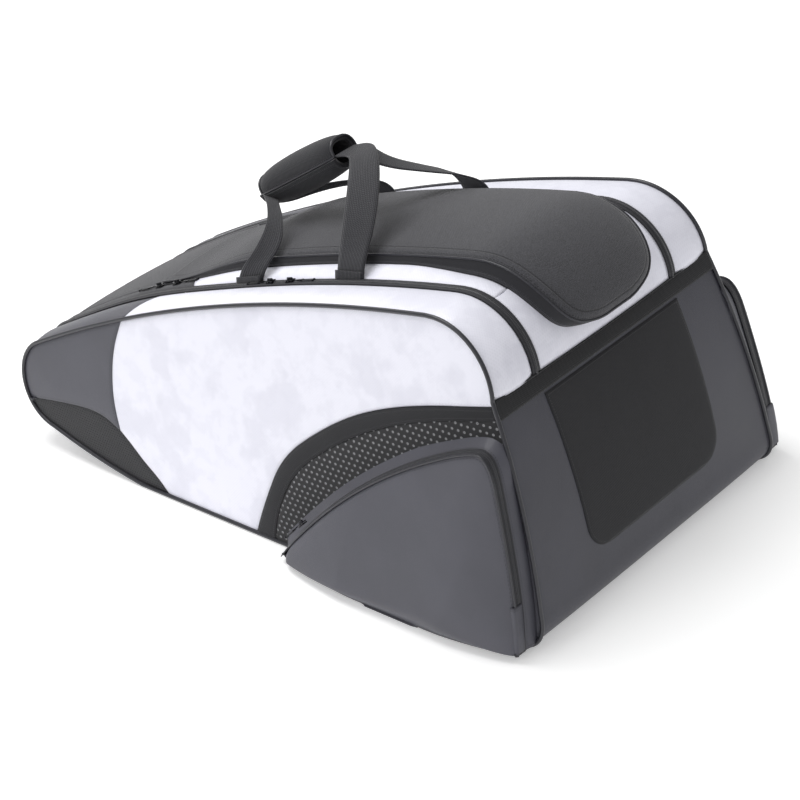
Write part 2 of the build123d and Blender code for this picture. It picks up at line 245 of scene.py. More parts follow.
def lay(name, columns, rows, where, seam_dip=0.0, dip_reach=0.003, closed_seams=True, crowded=True,
        seam_rows=(0, 1)):
    """A grid of columns by rows, laid where(share along, share across) says.

    crowded brings the rows closer together at the two long seams. seam_rows lists the long edges
    that are sewn, and closed_seams says whether the two short ones are.
    """
    bm = bmesh.new()
    bmesh.ops.create_grid(bm, x_segments=columns, y_segments=rows, size=0.5)
    uv = bm.loops.layers.uv.new("run")
    spots = {}
    for vert in bm.verts:
        s, t = min(max(vert.co.x + 0.5, 0), 1), min(max(vert.co.y + 0.5, 0), 1)
        if crowded:
            t = (1 - math.cos(math.pi * t)) / 2
        spots[vert] = (s, t)
        vert.co = where(s, t)
    long = length_of([where(k / 40, 0.5) for k in range(41)])
    wide = length_of([where(0.5, k / 12) for k in range(13)])
    for face in bm.faces:
        for loop in face.loops:
            loop[uv].uv = (spots[loop.vert][0] * long, spots[loop.vert][1] * wide)
    border = [where(k / 600, t) for k in range(601) for t in seam_rows]
    if closed_seams:
        border += [where(s, k / 150) for k in range(151) for s in (0, 1)]
    tree = tree_of(border)
    edge = bm.verts.layers.float.new("edge")
    bm.normal_update()
    middle = sum((f.calc_center_median() for f in bm.faces), Vector()) / len(bm.faces)
    inside = Vector((min(max(middle.x, INSIDE_X[0]), INSIDE_X[1]), 0, INSIDE_Z))
    facing = sum((f.calc_center_median() - inside).dot(f.normal) * f.calc_area() for f in bm.faces)
    if facing < 0:
        bmesh.ops.reverse_faces(bm, faces=bm.faces)
        bm.normal_update()
    for vert in bm.verts:
        vert[edge] = tree.find(vert.co)[2]
    moved = {v: v.co - v.normal * seam_dip * math.exp(-v[edge] / dip_reach) for v in bm.verts}
    for vert, place in moved.items():
        vert.co = place
    bmesh.ops.remove_doubles(bm, verts=bm.verts, dist=0.00005)
    return name, bm


def inflate(piece, pressure, cap):
    """Runs a sheet as cloth under pressure, held at its seams, and keeps points within cap metres.

    At these settings the pressure moves no point by as much as 0.1 mm. What makes a padded piece
    look full is the function that lays it. The only change that shows is that its points are
    kept above the floor.
    """
    rest = [v.co.copy() for v in piece.data.vertices]
    pins = piece.vertex_groups.new(name="sewn")
    edge = piece.data.attributes["edge"].data
    for vert in piece.data.vertices:
        hold = max(0.0, 1 - edge[vert.index].value / PIN_REACH)
        pins.add([vert.index], max(hold, LOOSE_HOLD), "REPLACE")
    cloth = piece.modifiers.new("cloth", "CLOTH")
    cloth.settings.vertex_group_mass = "sewn"
    cloth.settings.use_pressure, cloth.settings.uniform_pressure_force = True, pressure
    cloth.settings.tension_stiffness = cloth.settings.compression_stiffness = 12
    cloth.settings.bending_stiffness, cloth.settings.shrink_min = 0.6, -0.02
    cloth.settings.effector_weights.gravity = 0
    cloth.collision_settings.use_collision = False
    scene = bpy.context.scene
    for number in range(1, CLOTH_FRAMES + 1):
        scene.frame_set(number)
    shaped = piece.evaluated_get(bpy.context.evaluated_depsgraph_get())
    moved = [v.co.copy() for v in shaped.data.vertices]
    piece.modifiers.remove(cloth)
    scene.frame_set(1)
    for vert, start, end in zip(piece.data.vertices, rest, moved):
        step = end - start
        vert.co = start + step * min(1, cap / max(step.length, 1e-9))
        vert.co.z = max(vert.co.z, FLOOR_CLEARANCE)
    piece.vertex_groups.clear()
    farthest = max((b - a).length for a, b in zip(rest, moved))
    print(piece.name, "moved up to", round(farthest * 1000, 1), "mm")


def add_piece(name, mesh, look):
    """Puts a mesh in the scene as a smooth piece of one material."""
    mesh.shade_smooth()
    mesh.materials.append(look)
    piece = bpy.data.objects.new(name, mesh)
    bpy.context.collection.objects.link(piece)
    return piece


def mesh_of(name, bm):
    mesh = bpy.data.meshes.new(name)
    bm.to_mesh(mesh)
    bm.free()
    return mesh


def attach(piece, body, nodes):
    """Rides a piece on one body, or else only bakes its place into its mesh, and hides the frame parts it
    stands for.
    """
    if isinstance(body, str):
        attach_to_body(piece, body)
    else:
        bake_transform(piece)
    if nodes:
        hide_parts(*nodes)
    return piece


def sew(made, look, body, nodes=(), thick=0.0012, lining=None, puffed=None):
    """Turns laid cloth into a piece with a thickness. puffed is a pressure and a cap."""
    name, bm = made
    piece = add_piece(name, mesh_of(name, bm), look)
    if puffed:
        inflate(piece, *puffed)
    if thick:
        wall = piece.modifiers.new("thickness", "SOLIDIFY")
        wall.thickness, wall.offset = thick, -1
        if lining:
            piece.data.materials.append(lining)
            wall.material_offset = 1
    return attach(piece, body, nodes)


print("a cloth pass takes", CLOTH_FRAMES, "frames")

# %% [markdown]
# Shader maths reads best as plain arithmetic. A Value wraps one socket, so adding or multiplying
# two of them adds a Math node. A Look is one material: it makes any node by its type, with its
# settings first and then the values or links of its sockets.

# %% Shader arithmetic
class Value:
    def __init__(self, look, socket):
        self.look, self.socket = look, socket

    def math(self, operation, *others):
        inputs = dict(enumerate((self, *others)))
        return self.look.node("ShaderNodeMath", {"operation": operation}, inputs)

    def back(self, operation, other):
        return self.look.node("ShaderNodeMath", {"operation": operation}, {0: other, 1: self})

    def __add__(self, other):
        return self.math("ADD", other)

    def __radd__(self, other):
        return self.back("ADD", other)

    def __sub__(self, other):
        return self.math("SUBTRACT", other)

    def __rsub__(self, other):
        return self.back("SUBTRACT", other)

    def __mul__(self, other):
        return self.math("MULTIPLY", other)

    def __rmul__(self, other):
        return self.back("MULTIPLY", other)

    def __truediv__(self, other):
        return self.math("DIVIDE", other)

    def wave(self):
        return self.math("SINE")

    def size(self):
        return self.math("ABSOLUTE")

    def ripple(self, pitch):
        """A sine wave that repeats every pitch metres."""
        return (self * (2 * math.pi / pitch)).wave()

    def above(self, low, high):
        return self.look.node("ShaderNodeMapRange", {"interpolation_type": "SMOOTHSTEP"},
                              {0: self, 1: low, 2: high, 3: 0.0, 4: 1.0})


def tone(level, blue=0.0):
    """A grey on a display's 0 to 255 scale, with some blue, as a shader's linear colour."""
    return tuple((min(max(c, 0), 255) / 255) ** 2.2 for c in (level, level, level + blue)) + (1.0,)


class Look:
    def __init__(self, name, roughness=0.6, sheen=0.0, coat=0.0, metallic=0.0):
        self.material = bpy.data.materials.new(name)
        self.material.use_nodes = True
        self.tree = self.material.node_tree
        self.tree.nodes.clear()
        out = self.tree.nodes.new("ShaderNodeOutputMaterial")
        self.shader = self.tree.nodes.new("ShaderNodeBsdfPrincipled")
        self.tree.links.new(self.shader.outputs[0], out.inputs[0])
        self.put({"Roughness": roughness, "Sheen Weight": sheen, "Coat Weight": coat, "Metallic": metallic})

    def put(self, values):
        for key, value in values.items():
            socket = self.shader.inputs[key]
            if isinstance(value, Value):
                self.tree.links.new(value.socket, socket)
            else:
                socket.default_value = value

    def node(self, kind, settings=None, inputs=None, output=0):
        made = self.tree.nodes.new(kind)
        for key, value in (settings or {}).items():
            setattr(made, key, value)
        for key, value in (inputs or {}).items():
            if isinstance(value, Value):
                self.tree.links.new(value.socket, made.inputs[key])
            else:
                made.inputs[key].default_value = value
        return Value(self, made.outputs[output])

    def place(self):
        return self.node("ShaderNodeTexCoord", output=3)

    def axes(self, place):
        return [self.node("ShaderNodeSeparateXYZ", None, {0: place}, k) for k in range(3)]

    def run(self):
        place = self.node("ShaderNodeUVMap", {"uv_map": "run"})
        return [self.node("ShaderNodeSeparateXYZ", None, {0: place}, k) for k in range(2)]

    def edge(self):
        return self.node("ShaderNodeAttribute", {"attribute_name": "edge"}, None, 2)

    def noise(self, scale, detail=3.0, roughness=0.55, place=None):
        place = place or self.place()
        return self.node("ShaderNodeTexNoise", None,
                         {"Vector": place, "Scale": scale, "Detail": detail, "Roughness": roughness})

    def mix(self, factor, a, b):
        return self.node("ShaderNodeMix", {"data_type": "RGBA"}, {0: factor, 6: a, 7: b}, 2)

    def bump(self, height, depth, strength=1.0):
        bumped = self.node("ShaderNodeBump", None,
                           {"Strength": strength, "Distance": depth, "Height": height})
        self.put({"Normal": bumped})


print("a shader's tone for mid grey", round(tone(128)[0], 3))


# %% [markdown]
# A sewn edge shows a row of stitches a few millimetres in from the seam: a sunk line with small
# raised threads. It is built from the distance to the seam and the run along the piece.

# %% Stitches and weave
STITCH_PITCH = 0.0034


def stitches(look, inset=0.0032):
    """Thread mask of one row of stitches, from 0 to 1."""
    along = look.run()[0]
    line = 1 - (look.edge() - inset).size().above(0.0003, 0.0007)
    return line * along.ripple(STITCH_PITCH).above(-0.5, 0.1)


def weave(look, pitch, flat):
    """Height of a plain weave on two object axes."""
    axes = look.axes(look.place())
    return axes[flat[0]].ripple(2 * pitch) * axes[flat[1]].ripple(2 * pitch)


def white_cloth(name, flat):
    """Coated white cloth with a faint cool camouflage and a fine square texture."""
    look = Look(name, roughness=0.42, coat=0.12)
    patches = look.noise(16, 4, 0.5).above(0.5, 0.62)
    haze = look.noise(45, 3, 0.6).above(0.46, 0.62)
    cells = weave(look, 0.0019, flat)
    colour = look.mix(patches * 0.55, tone(238, 11), tone(221, 12))
    colour = look.mix(haze * 0.3, colour, tone(222, 12))
    colour = look.mix(cells.above(0.25, 0.7) * 0.14, colour, tone(206, 10))
    thread = stitches(look)
    # Painted shade: the white darkens within 2.2 mm of every seam, where the cloth dips into the seam groove.
    seam_shade = 1 - look.edge().above(0.0, 0.0022)
    colour = look.mix(seam_shade * 0.45, colour, tone(150, 8))
    colour = look.mix(thread * 0.5, colour, tone(214, 8))
    look.put({"Base Color": colour, "Roughness": 0.40 + patches * 0.06})
    wrinkle = look.noise(30, 4, 0.55) * 0.9
    look.bump(cells * 0.04 + wrinkle + thread * 0.2, 0.0022, 0.5)
    return look.material


def heather_cloth(name, flat, level=54):
    """Charcoal melange cloth: light and dark threads mixed in the yarn."""
    look = Look(name, roughness=0.88, sheen=0.25)
    axes = look.axes(look.place())
    stretched = look.node("ShaderNodeCombineXYZ", None, {0: axes[0], 1: axes[1] * 2.2, 2: axes[2] * 2.2})
    yarn = look.noise(560, 3, 0.85, stretched)
    cloud = look.noise(90, 3, 0.6)
    cells = weave(look, 0.0013, flat)
    colour = look.mix(yarn.above(0.34, 0.68), tone(level - 26, 3), tone(level + 26, 5))
    fleck = look.noise(1100, 2, 0.8).above(0.6, 0.72)
    colour = look.mix(fleck * 0.7, colour, tone(level + 52, 6))
    colour = look.mix(cloud.above(0.4, 0.65) * 0.35, colour, tone(level + 10, 5))
    thread = stitches(look, 0.0038)
    # A crease 11.5 mm in from the seams: this mask sinks it as a bump and darkens its colour as painted shade.
    crease_and_shade = 1 - (look.edge() - 0.0115).size().above(0.0006, 0.0013)
    colour = look.mix(crease_and_shade * 0.6, colour, tone(level - 30, 3))
    colour = look.mix(thread * 0.55, colour, tone(level - 34, 2))
    look.put({"Base Color": colour, "Roughness": 0.84 + yarn * 0.1})
    look.bump(cells * 0.3 + yarn * 0.5 - thread * 0.5 - crease_and_shade * 1.2, 0.0006, 0.8)
    return look.material


def coated_cloth(name, level=73, inset=0.0036):
    """Dark satin coated cloth with a fine leather grain and sewn edges."""
    look = Look(name, roughness=0.46, coat=0.10)
    grain = look.node("ShaderNodeTexVoronoi", {"feature": "DISTANCE_TO_EDGE"},
                      {"Vector": look.place(), "Scale": 900.0})
    pull = look.noise(14, 4, 0.5)
    # Painted shade: the cloth darkens within 4 mm of every seam, where it dips into the seam groove.
    edge_shade = 1 - look.edge().above(0.0, 0.004)
    colour = look.mix(pull.above(0.35, 0.7) * 0.5, tone(level, 8), tone(level + 9, 9))
    colour = look.mix(edge_shade * 0.35, colour, tone(level - 34, 6))
    thread = stitches(look, inset)
    colour = look.mix(thread * 0.6, colour, tone(level - 30, 5))
    look.put({"Base Color": colour, "Roughness": 0.44 + pull * 0.1})
    look.bump(grain.above(0.0, 0.22) * 0.10 + pull * 1.6 - thread * 0.2, 0.0018, 0.45)
    return look.material


def plain_cloth(name, level, flat, pitch=0.0011, rough=0.9, inset=0.0034):
    """Close-woven nylon with visible threads."""
    blue = 4
    look = Look(name, roughness=rough, sheen=0.15)
    cells = weave(look, pitch, flat)
    fluff = look.noise(700, 2, 0.7)
    cloud = look.noise(20, 3, 0.5)
    colour = look.mix(cells.above(-0.4, 0.6) * 0.5, tone(level - 9, blue), tone(level + 10, blue))
    colour = look.mix(cloud * 0.3, colour, tone(level + 8, blue))
    thread = stitches(look, inset)
    colour = look.mix(thread * 0.6, colour, tone(level + 26, blue))
    look.put({"Base Color": colour, "Roughness": rough - 0.05 + fluff * 0.08})
    look.bump(cells * 0.35 + fluff * 0.3 + cloud * 1.5 + thread * 0.6, 0.0005, 0.7)
    return look.material


def holes_cloth(name, pitch, level, hole_level, flat, size=0.30):
    """Knitted or perforated net: staggered round holes on two object axes."""
    look = Look(name, roughness=0.8, sheen=0.1)
    axes = look.axes(look.place())
    a, b = axes[flat[0]] / pitch, axes[flat[1]] / (pitch * 0.866)
    row = b.math("FLOOR")
    a = a + row * 0.5
    da = a.math("FRACT") - 0.5
    db = b.math("FRACT") - 0.5
    away = (da * da + db * db).math("SQRT")
    hole = (1 - away.above(size - 0.06, size + 0.04)) * (0.35 + away.above(0.02, 0.12) * 0.65)
    rim = (away - size - 0.05).size().above(0.02, 0.09)
    colour = look.mix(hole, tone(level, 3), tone(hole_level, 3))
    colour = look.mix((1 - rim) * 0.3, colour, tone(level + 30, 4))
    thread = stitches(look, 0.0022)
    colour = look.mix(thread * 0.5, colour, tone(level + 20, 3))
    look.put({"Base Color": colour, "Roughness": 0.72 + hole * 0.2})
    look.bump((1 - hole) * 1.0 + (1 - rim) * 0.4, 0.0007, 0.9)
    return look.material


WHITE_SIDE = white_cloth("white_side_cloth", (0, 2))
WHITE_TOP = white_cloth("white_top_cloth", (0, 1))
HEATHER = heather_cloth("heather_lid_cloth", (0, 1))
COATED = coated_cloth("coated_cloth")
# Painted shade: the butt end's cloth is the same coated cloth, made darker because the end faces away from the
# light.
COATED_END_SHADED = coated_cloth("coated_end_cloth_shaded", 60)
BLACK_END = plain_cloth("end_cloth", 30, (1, 2))
BLACK_BAND = plain_cloth("band_cloth", 23, (1, 2), 0.0014)
TRIM = plain_cloth("trim_cloth", 31, (0, 2), 0.0014)
GRIP = plain_cloth("grip_cloth", 37, (0, 1), 0.0010, 0.85, 0.004)
NET = holes_cloth("nose_net", 0.0042, 44, 12, (0, 2))
DOTS = holes_cloth("dotted_band_net", 0.0088, 24, 150, (0, 2), 0.20)
LINING = plain_cloth("lining_cloth", 70, (0, 2), 0.0015)
FOAM = plain_cloth("foam_pad", 60, (0, 1), 0.0025, 0.95)
BOTTOM = coated_cloth("bottom_cloth", 50)
print("finishes so far", len(bpy.data.materials))


# %% [markdown]
# Webbing, piping, zips and metal have their own patterns. Webbing is ribbed along its run with a
# herringbone, piping is smooth coated cord, and a zip is two tapes with a spiral of teeth between.

# %% Hardware finishes
def webbing_cloth():
    look = Look("ribbed_webbing", roughness=0.72, sheen=0.2)
    along, across = look.run()
    ribs = across.ripple(0.0021)
    slant = (across.ripple(0.0042) * 1.6 + along * (2 * math.pi / 0.0017)).wave()
    fluff = look.noise(500, 2, 0.7)
    colour = look.mix(ribs.above(-0.6, 0.7) * 0.6, tone(28, 4), tone(56, 6))
    colour = look.mix(slant.above(0.0, 0.9) * 0.28, colour, tone(84, 6))
    look.put({"Base Color": colour, "Roughness": 0.66 + fluff * 0.12})
    look.bump(ribs * 0.6 + slant * 0.5, 0.0005, 0.8)
    return look.material


def piping_cord(name="piping_cord", level=40):
    look = Look(name, roughness=0.36, coat=0.2)
    grain = look.noise(700, 2, 0.6)
    colour = look.mix(grain.above(0.35, 0.7) * 0.4, tone(level, 6), tone(level + 16, 6))
    look.put({"Base Color": colour, "Roughness": 0.3 + grain * 0.16})
    look.bump(grain, 0.0004, 0.5)
    return look.material


def zip_tape(name, wide, level=36):
    """Tapes with a spiral of teeth down the middle and a stitch row each side."""
    look = Look(name, roughness=0.68, sheen=0.1)
    along, across = look.run()
    off = (across - wide / 2).size()
    spiral = 1 - off.above(0.0017, 0.0022)
    teeth = along.ripple(0.0018).above(-0.3, 0.5)
    ribs = across.ripple(0.0012) * along.ripple(0.0012)
    slit = 1 - off.above(0.0001, 0.0004)
    row = 1 - (off - wide * 0.34).size().above(0.0002, 0.0006)
    dash = row * along.ripple(STITCH_PITCH).above(-0.4, 0.2)
    colour = look.mix(spiral * teeth, tone(level, 5), tone(level + 22, 5))
    colour = look.mix(slit, colour, tone(8, 1))
    colour = look.mix(dash * 0.6, colour, tone(level + 20, 5))
    look.put({"Base Color": colour, "Roughness": 0.7 - spiral * 0.3})
    look.bump(spiral * 1.2 + spiral * teeth * 0.8 + ribs * 0.1 + dash * 0.3, 0.0007, 0.8)
    return look.material


def dark_metal():
    look = Look("slider_metal_gloss", roughness=0.22, metallic=0.9)
    dents = look.noise(300, 3, 0.6)
    scuff = look.noise(900, 2, 0.8).above(0.62, 0.7)
    look.put({"Base Color": look.mix(scuff * 0.6, tone(40, 3), tone(150, 4)),
              "Roughness": 0.16 + dents * 0.2})
    look.bump(dents, 0.0002, 0.4)
    return look.material


def pull_cord():
    look = Look("pull_cord_cloth", roughness=0.6)
    axes = look.axes(look.place())
    twist = (axes[0] + axes[1] + axes[2]).ripple(0.0016)
    look.put({"Base Color": look.mix(twist.above(-0.3, 0.6), tone(22, 2), tone(60, 4)),
              "Roughness": 0.5 + twist * 0.08})
    look.bump(twist, 0.0004, 0.7)
    return look.material


ZIP_WIDE = 0.013
WEBBING, PIPING, METAL, CORD = webbing_cloth(), piping_cord(), dark_metal(), pull_cord()
GRIP_PIPING = piping_cord("grip_piping_cord", 30)
ZIP = zip_tape("main_zip_tape", ZIP_WIDE)
POCKET_ZIP = zip_tape("pocket_zip_tape", 0.011)
LID_ZIP = zip_tape("lid_zip_tape", 0.010, 28)
print("all finishes", len(bpy.data.materials))

# %% [markdown]
# A side shows six patches. A coated patch covers the nose, a net patch lies under it, white cloth
# fills the middle, a dark trim and a dotted net band arc over the shoe pocket, and plain coated
# cloth lies behind it. All of them lie on the one swollen side surface. Patches that cross the
# fold line are set in place as laid, and do not ride on the side cover.

# %% Seam lines on a side
SEAM_TOP_X = 194
nose_seam = smooth([(SEAM_TOP_X, 217.5), (178, 175), (173, 127), (176, 94), (181, 69)])
net_top = smooth([(9, 63), (66, 75), (142, 85), (181, 69)])
net_rear = smooth([(181, 69), (200, 55), (219, 38), (245, 20), (262, 0)])
band_upper = smooth([(412, 0), (434, 52), (468, 122), (531, 175), (600, 219), (689, 254), (797, 280)])
band_middle = smooth([(444, 0), (457, 52), (490, 112), (549, 160), (615, 202), (699, 239), (800, 265)])
band_lower = smooth([(482, 0), (520, 60), (575, 118), (655, 175), (716, 209), (812, 237)])
seam_share = crest_share(SEAM_TOP_X)
nose_edge = Line(joined(reversed(crest.part(0, seam_share, 80))))
net_keel = Line(joined(reversed(keel.part(0.55, 1.0, 200))))
belly_share = net_keel.share_where(lambda p: p.x >= 262)
white_top = Line(crest.part(seam_share, 1.0, 200))
white_low = Line(joined(nose_seam, net_rear, bowed((262, 0), (412, 0), 0, 10), band_upper))
print("seam lines ready", round(white_low.length))


# %% Side patches
FOLD_FRONT, FOLD_REAR = (14, 56.2), (792, 285)


def fold_ends(side, reach=22):
    """Two points, one each side of the fold line, square to it in the side's plane."""
    middle = Vector(((FOLD_FRONT[0] + FOLD_REAR[0]) / 2, (FOLD_FRONT[1] + FOLD_REAR[1]) / 2))
    upward = Vector((FOLD_FRONT[1] - FOLD_REAR[1], FOLD_REAR[0] - FOLD_FRONT[0])).normalized()
    low, high = middle - upward * reach, middle + upward * reach
    return at(low.x, side * side_y(low), low.y), at(high.x, side * side_y(high), high.y)


def side_patch(name, side, first, second, columns, rows, lift=0.0, dip=0.0012):
    def where(s, t):
        return on_side(side, first(s).lerp(second(s), t), lift)
    return lay(name, columns, rows, where, dip)


SIDES = {"near": -1, "far": 1}
for prefix, side in SIDES.items():
    bend = ("shell", f"{prefix}_cover", *fold_ends(side))
    sew(side_patch(f"{prefix}_white_side", side, white_top, white_low, 150, 40), WHITE_SIDE, bend,
        [f"{prefix}_side_cover", f"{prefix}_side_lower"], lining=LINING)
    nose_low = Line(joined(nose_seam, reversed(net_top)))
    sew(side_patch(f"{prefix}_coated_nose", side, nose_edge, nose_low, 100, 26, 0.4), COATED, bend,
        [f"{prefix}_nose_patch"], lining=LINING)
    lower_nose = Line(joined(net_keel.part(0, belly_share, 100)))
    sew(side_patch(f"{prefix}_nose_net", side, Line(joined(net_top, net_rear)), lower_nose, 90, 20, -0.6), NET,
        bend, lining=LINING)
    sew(side_patch(f"{prefix}_band_trim", side, Line(band_upper), Line(band_middle), 110, 8, 1.8), TRIM, bend)
    sew(side_patch(f"{prefix}_dotted_band", side, Line(band_middle), Line(band_lower), 110, 8, 1.0), DOTS, bend,
        [f"{prefix}_mesh_band"])
    rear_low = Line(joined(bowed((482, 0), HEEL, 0, 12), reversed(heel), reversed(butt.part(0.2, 1, 30))))
    sew(side_patch(f"{prefix}_coated_side_low", side, Line(band_lower), rear_low, 80, 24, -0.4), COATED,
        "shell")
print("side patches", sum("side" in o.name or "net" in o.name for o in bpy.data.objects))

# %% [markdown]
# The top is cut in strips. The outer gusset runs from the side piping to the main zip, and the
# inner strip from the zip to the lid. Near the nose both are dark, and the seam to white slants.

# %% Gussets, inner strips and the nose
LID_HALF, LID_FRONT = 100, 195
LID_CLIMB, CLIMB_REACH = 11, 22
TAPE_ROOM = 12  # between the outer and the inner edge of a main zip
SHOULDER_FROM = crest_share(738)


def ease(low, high, value):
    """A smooth step from 0 at low to 1 at high."""
    k = min(1, max(0, (value - low) / (high - low)))
    return k * k * (3 - 2 * k)


def climb(share):
    """How far the cloth rises to the lid's zip: nothing at the nose and over the shoulder."""
    return LID_CLIMB * ease(215, 370, crest(share).x) * (1 - ease(600, 735, crest(share).x))


def strip_where(side, y_in, y_out, start, stop, crown=3.0, climbs=False):
    """A strip along the crest between two distances from the middle.

    start and stop each give the crest share at the inner and the outer edge.
    """
    def where(s, t):
        first, last = start[0] + (start[1] - start[0]) * t, stop[0] + (stop[1] - stop[0]) * t
        share = first + (last - first) * s
        p = crest(share)
        y = y_in(p) + (y_out(p) - y_in(p)) * t
        rise = climb(share) * max(0, 1 - (y - LID_HALF) / CLIMB_REACH) ** 1.2 if climbs else 0
        return on_line(crest, share, side * y, crown * 4 * t * (1 - t) + rise)
    return where


def zip_out(p):
    return zip_y(p.x)


def zip_in(p):
    return zip_y(p.x) - TAPE_ROOM


def lid_edge(p):
    return LID_HALF - 12 * max(0, 1 - p.x / LID_FRONT)


for prefix, side in SIDES.items():
    far = side > 0
    outer = (crest_share(290 if far else 226), crest_share(270 if far else SEAM_TOP_X))
    inner = (crest_share(300 if far else 262), crest_share(290 if far else 272))
    cover = f"{prefix}_cover"
    sew(lay(f"{prefix}_gusset_nose", 60, 8, strip_where(side, zip_out, side_y, (0, 0), outer), 0.001), COATED,
        cover, lining=LINING)
    sew(lay(f"{prefix}_gusset_white", 140, 10, strip_where(side, zip_out, side_y, outer, (1, 1), 4), 0.001),
        WHITE_TOP, cover, [f"{prefix}_outer_gusset"], lining=LINING)
    dark = strip_where(side, lid_edge, zip_in, (0, 0), inner, 1.0, climbs=True)
    sew(lay(f"{prefix}_inner_strip_nose", 70, 5, dark, 0.0008), HEATHER, "shell")
    white = strip_where(side, lid_edge, zip_in, inner, (SHOULDER_FROM, SHOULDER_FROM), 1.0, climbs=True)
    sew(lay(f"{prefix}_inner_strip_white", 130, 5, white, 0.0008, closed_seams=False), WHITE_TOP, "shell",
        [f"{prefix}_back_strip"], lining=LINING)


def across_where(line, start, stop, half, lift=0.0, crowned=True):
    def where(s, t):
        share = start + (stop - start) * s
        return on_line(line, share, (2 * t - 1) * half(line(share)), lift, crowned)
    return where


nose_top = across_where(crest, 0, crest_share(LID_FRONT + 6), lid_edge)
sew(lay("nose_top_cloth", 60, 30, nose_top, 0.0008, crowded=False), HEATHER, "shell", ["nose_top_panel"])
sew(lay("shoulder_cloth", 50, 40, across_where(crest, SHOULDER_FROM, 1, zip_in), 0.0, closed_seams=False,
        crowded=False),
    WHITE_TOP, "shell", ["shoulder_panel"], lining=LINING)
print("strips over the top", sum("gusset" in o.name or "strip" in o.name for o in bpy.data.objects))

# %% [markdown]
# Piping is a cord wrapped in coated cloth and sewn into the seam. A curve with a round bevel gives
# it in one step, and it is made a mesh so that it needs no modifier later.

# %% Piping
def cord_piece(name, points, radius, look, body, nodes=(), closed=False):
    curve = bpy.data.curves.new(name, "CURVE")
    curve.dimensions = "3D"
    spline = curve.splines.new("POLY")
    spline.points.add(len(points) - 1)
    for item, point in zip(spline.points, points):
        item.co = (*point, 1)
    spline.use_cyclic_u = closed
    curve.bevel_depth, curve.bevel_resolution, curve.use_fill_caps = radius, 3, True
    shape = bpy.data.objects.new(name + "_line", curve)
    bpy.context.collection.objects.link(shape)
    bpy.context.view_layer.update()
    mesh = bpy.data.meshes.new_from_object(shape)
    bpy.data.objects.remove(shape)
    mesh.name = name
    mesh.materials.clear()
    return attach(add_piece(name, mesh, look), body, nodes)


PIPING_RADIUS, PIPING_OUT, PIPING_ABOVE_FLOOR = 0.0026, 0.8, 2.8
for prefix, side in SIDES.items():
    def rim(line, share):
        p = line(share) + line.left(share) * PIPING_OUT
        return at(p.x, side * (side_y(p) + PIPING_OUT), max(p.y, PIPING_ABOVE_FLOOR))
    upper = [rim(crest, k / 260) for k in range(261)]
    lower = [rim(keel, k / 320) for k in range(321)]
    cord_piece(f"{prefix}_piping_over_back", upper, PIPING_RADIUS, PIPING, f"{prefix}_cover",
               [f"{prefix}_piping_upper"])
    cord_piece(f"{prefix}_piping_under", lower, PIPING_RADIUS, PIPING, "shell", [f"{prefix}_piping_lower"])
print("piping", round(crest.length + keel.length), "mm a side")

# %% [markdown]
# Each main zip runs from the nose over the shoulder to the end band. The tape stands a little
# above the cloth, with its teeth as a low ridge.

# %% Main zips
for prefix, side in SIDES.items():
    def tape(s, t, side=side):
        p = crest(s)
        y = zip_y(p.x) + 0.6 - 13.2 * t
        return on_line(crest, s, side * y, 1.2 + 1.3 * math.exp(-((t - 0.5) / 0.16) ** 2))
    sew(lay(f"{prefix}_main_zip", 260, 12, tape, 0.0, crowded=False), ZIP, "shell", [f"{prefix}_zip"])
print("main zips", sum("main_zip" in o.name for o in bpy.data.objects))

# %% [markdown]
# The butt end is coated cloth with a woven panel in the middle and a sewn band over the top. The
# underside is a tougher coated cloth.

# %% Butt end and bottom
END_SWELL = 3.5
end_line = Line(joined(butt.points, heel))


def end_swell(share, across):
    """How far the end cloth swells at a share down the end and a share out to its side."""
    return END_SWELL * math.sin(math.pi * share) ** 0.7 * (1 - across ** 4)


def end_where(s, t):
    p = end_line(s)
    y = (2 * t - 1) * side_y(p)
    return on_line(end_line, s, y, end_swell(s, 2 * t - 1), False)


END_TOP, END_LOW, END_HALF, END_CORNER = 0.085, 0.735, 130, 34


def end_panel_where(s, t):
    share = END_TOP + (END_LOW - END_TOP) * s
    above = (END_LOW - share) * end_line.length
    inset = END_CORNER - math.sqrt(max(0, END_CORNER ** 2 - max(0, END_CORNER - above) ** 2))
    half = END_HALF - inset
    p = end_line(share)
    y = (2 * t - 1) * half
    return on_line(end_line, share, y, end_swell(share, y / side_y(p)) + 1.4, False)


def band_where(s, t):
    """The band over the top of the butt end, with its lower edge folded under."""
    drop = 24 * s - 1
    share = max(0, drop) / end_line.length
    p = end_line(share)
    y = (2 * t - 1) * (side_y(p) + 2)
    fold = 2.2 + 0.9 * math.sin(math.pi * min(1, s * 1.05)) ** 0.5
    if drop < 0:
        return on_line(crest, 1 + drop / crest.length, y, fold)
    return on_line(end_line, share, y, fold, False)


# The butt end's cloth is darkened as painted shade.
sew(lay("end_cloth_sides", 60, 60, end_where, 0.001), COATED_END_SHADED, "shell", ["end_panel"])
sew(lay("end_woven_panel", 60, 50, end_panel_where, 0.0008), BLACK_END, "shell", ["end_fabric_panel"])
sew(lay("end_sewn_band", 10, 90, band_where, 0.0, crowded=False), BLACK_BAND, "shell", ["end_band"])
floor_line = Line(joined(bowed(HEEL, BELLY, 0, 60), underside, nose_lower))
sew(lay("bottom_cloth_panel", 120, 40, across_where(floor_line, 0, 1, side_y, 0, False), 0.0005), BOTTOM,
    "shell", ["bottom_panel"])
print("butt end", round(end_line.length), "mm down")

# %% [markdown]
# The lid is a padded cover that stands on a zipped wall. Its outline is a long U that is open
# towards the nose, where the wall runs out into the flat cloth. Each point of the U is joined to
# the middle line, so one grid gives the wall, the rounded edge and the crown.

